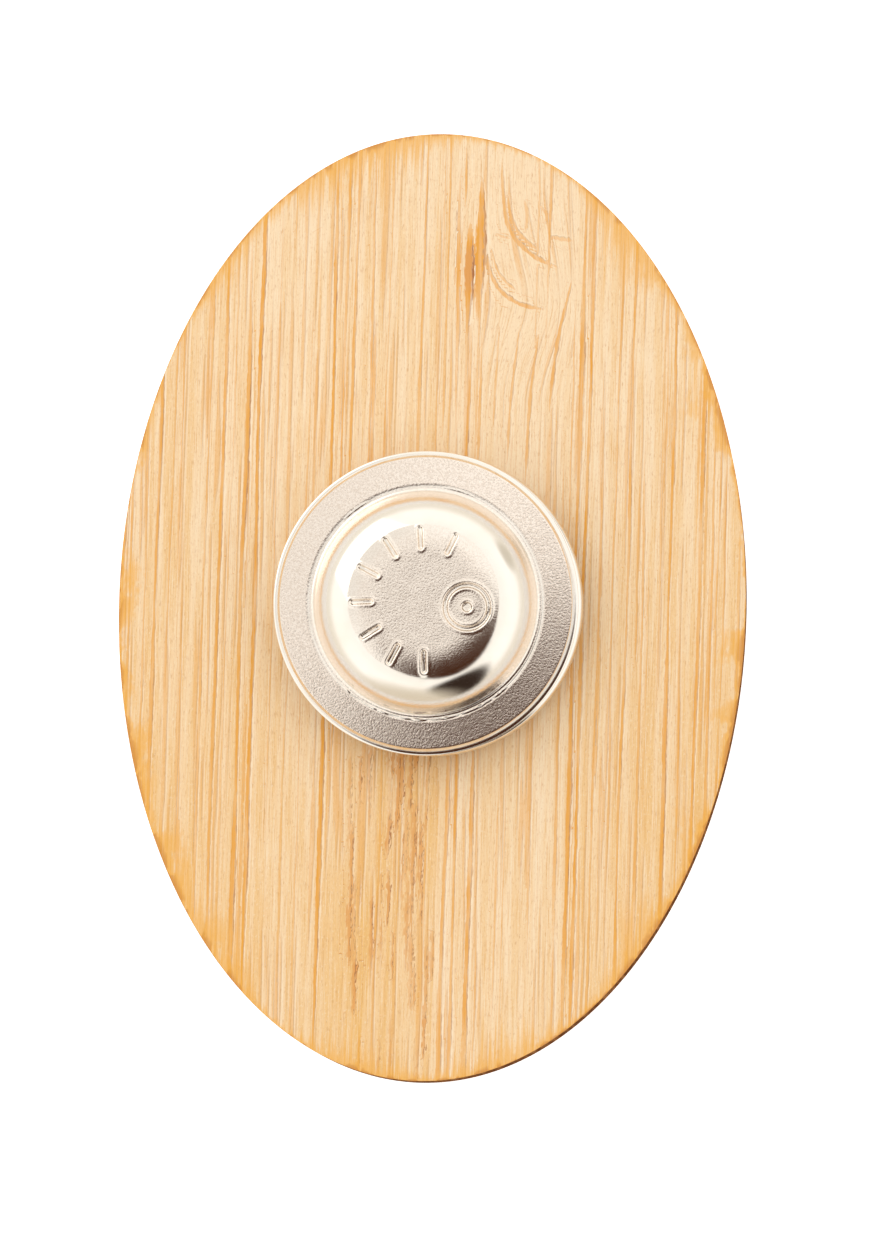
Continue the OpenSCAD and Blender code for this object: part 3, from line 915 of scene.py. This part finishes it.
cap_section = np.vstack([
    straight((0, CAP_H), (TOP_R, CAP_H), 90),
    arc(wall_centre, WALL_R, wall_start, wall_end, 44)[1:],
    arc(bend_centre, BEND_R, 180 + wall_end, 270, 10),
    straight((bend_centre[0], SHEET), (WITNESS_R, SHEET), 12),
    flange_top,
    straight(BEVEL[0], BEVEL[1], 5),
    (CAP_R, EDGE_BREAK) + quarter * (BEVEL[1][0] - CAP_R, BEVEL[1][1] - EDGE_BREAK),
    arc((CAP_R - EDGE_BREAK, EDGE_BREAK), EDGE_BREAK, 0, -90, 6),
    straight((CAP_R - EDGE_BREAK, 0), (bend_centre[0], 0), 5),
    arc(bend_centre, BEND_R + SHEET, 270, 180 + wall_end, 8),
    arc(wall_centre, WALL_R - SHEET, wall_end, inner_start, 10),
    straight((inner_r, INNER_TOP), (0, INNER_TOP), 4)])

DASHES, DASH_PITCH, DASH_START = 8, 29.6, 65
DASH_AT, DASH_LONG, STROKE = 3.45, 1.3, 0.28
RING_AT, RING_ANGLE, RING_D = 2.45, -8, 2.7
STAMP_DEPTH = 0.12
FAR = 9.0                   # where the search for the nearest mark starts


def outside_marks(x, y):
    """Distance in millimetres from the nearest stamped line, less than 0 inside one."""
    nearest = np.full_like(x, FAR)
    for k in range(DASHES):
        turn = math.radians(DASH_START + k * DASH_PITCH)
        along = x * math.cos(turn) + y * math.sin(turn) - DASH_AT
        across = -x * math.sin(turn) + y * math.cos(turn)
        past = np.maximum(abs(along) - (DASH_LONG - STROKE) / 2, 0)
        nearest = np.minimum(nearest, np.hypot(past, across) - STROKE / 2)
    turn = math.radians(RING_ANGLE)
    from_ring = np.hypot(x - RING_AT * math.cos(turn), y - RING_AT * math.sin(turn))
    nearest = np.minimum(nearest, abs(from_ring - (RING_D - STROKE) / 2) - STROKE / 2)
    return np.minimum(nearest, from_ring - STROKE)


ROLL_FROM, ROLL_BEND = 2.6, 2.4     # where the flat starts to roll over, and how suddenly it does
LIP_HEIGHT = 0.022                  # of the metal that the stamp pushed up round each mark
WITNESS_HEIGHT, BURR_HEIGHT, RIDGE_HALF = 0.0015, 0.08, 0.06
BURR_SPREAD = 5                     # degrees
# Where burrs stand on the ring: their bearing, and how much of the full height
BURRS = [(-48, 0.5), (-62, 1.0), (-78, 0.8), (-93, 1.0), (-112, 0.7), (-131, 0.5), (128, 0.4), (74, 0.4)]


def cap_shape(points):
    """The stamped marks, the roll-over at the edges of the flats, and the ring left by the drawing tool."""
    x, y, z = points.T
    radius, bearing = np.hypot(x, y), np.degrees(np.arctan2(y, x))
    wave = 0.004 * smooth_noise(x / 1.1, y / 1.1, 71) + 0.002 * smooth_noise(x / 0.45, y / 0.45, 73)

    on_top = z > CAP_H - 0.01
    away = outside_marks(x, y)
    sunk = STAMP_DEPTH * (1 - smooth_step(away, -0.08, 0.03))
    lip = LIP_HEIGHT * np.exp(-((away - 0.09) / 0.07) ** 2)
    roll = FLAT_ROLL * np.clip((radius - ROLL_FROM) / (TOP_R - ROLL_FROM), 0, 1) ** ROLL_BEND
    z = z - np.where(on_top, sunk - lip + roll + FLAT_SINK + wave * (1 - smooth_step(radius, 3.2, 4.1)), 0)

    on_flange = (radius > bend_centre[0] - 0.01) & (radius < CAP_R - 0.1) & (points[:, 2] > SHEET / 2)
    burr = sum(much * np.exp(-((bearing - at) / BURR_SPREAD) ** 2) for at, much in BURRS)
    burr = burr * (0.5 + 0.5 * smooth_noise(bearing / 1.2, bearing * 0, 72))
    ridge = WITNESS_HEIGHT * np.exp(-((radius - WITNESS_R) / RIDGE_HALF) ** 2)
    ridge += BURR_HEIGHT * burr * np.exp(-((radius - BURR_R) / RIDGE_HALF) ** 2)
    z = z - np.where(on_flange, 0.5 * wave - ridge + 0.003, 0)
    return np.column_stack([x, y, z])


def cap_values(points):
    """How matt the plate is: most on the flange, less on the flat and at the foot of the wall."""
    x, y, z = points.T
    radius = np.hypot(x, y)
    on_top = (radius < TOP_R - 0.03) & (z > CAP_H - 0.3)
    past_bevel = smooth_step(radius, BEVEL[0][0] - 0.02, BEVEL[0][0] + 0.02)
    on_flange = smooth_step(radius, FOOT_R, WITNESS_R) * (1 - past_bevel)
    at_foot = 0.5 * smooth_step(radius, 5.1, 5.9) * (radius < FOOT_R)
    in_mark = 1 - smooth_step(outside_marks(x, y), -0.1, 0.0)
    rolled = smooth_step(radius, 3.3, 4.2)
    flat = 0.82 - 0.45 * in_mark - 0.4 * rolled
    under = z < 0.05
    return {"matt": np.clip(np.where(on_top, flat, np.maximum(on_flange, at_foot)) - 0.4 * under, 0, 1)}


cap_plate = nickel_material("cap_plate", 1.0)
cap = turned("stamped_cap", cap_section, clasp_axis, cap_plate, cap_shape, cap_values)
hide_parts("magnet_cap")
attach(cap, "cap")
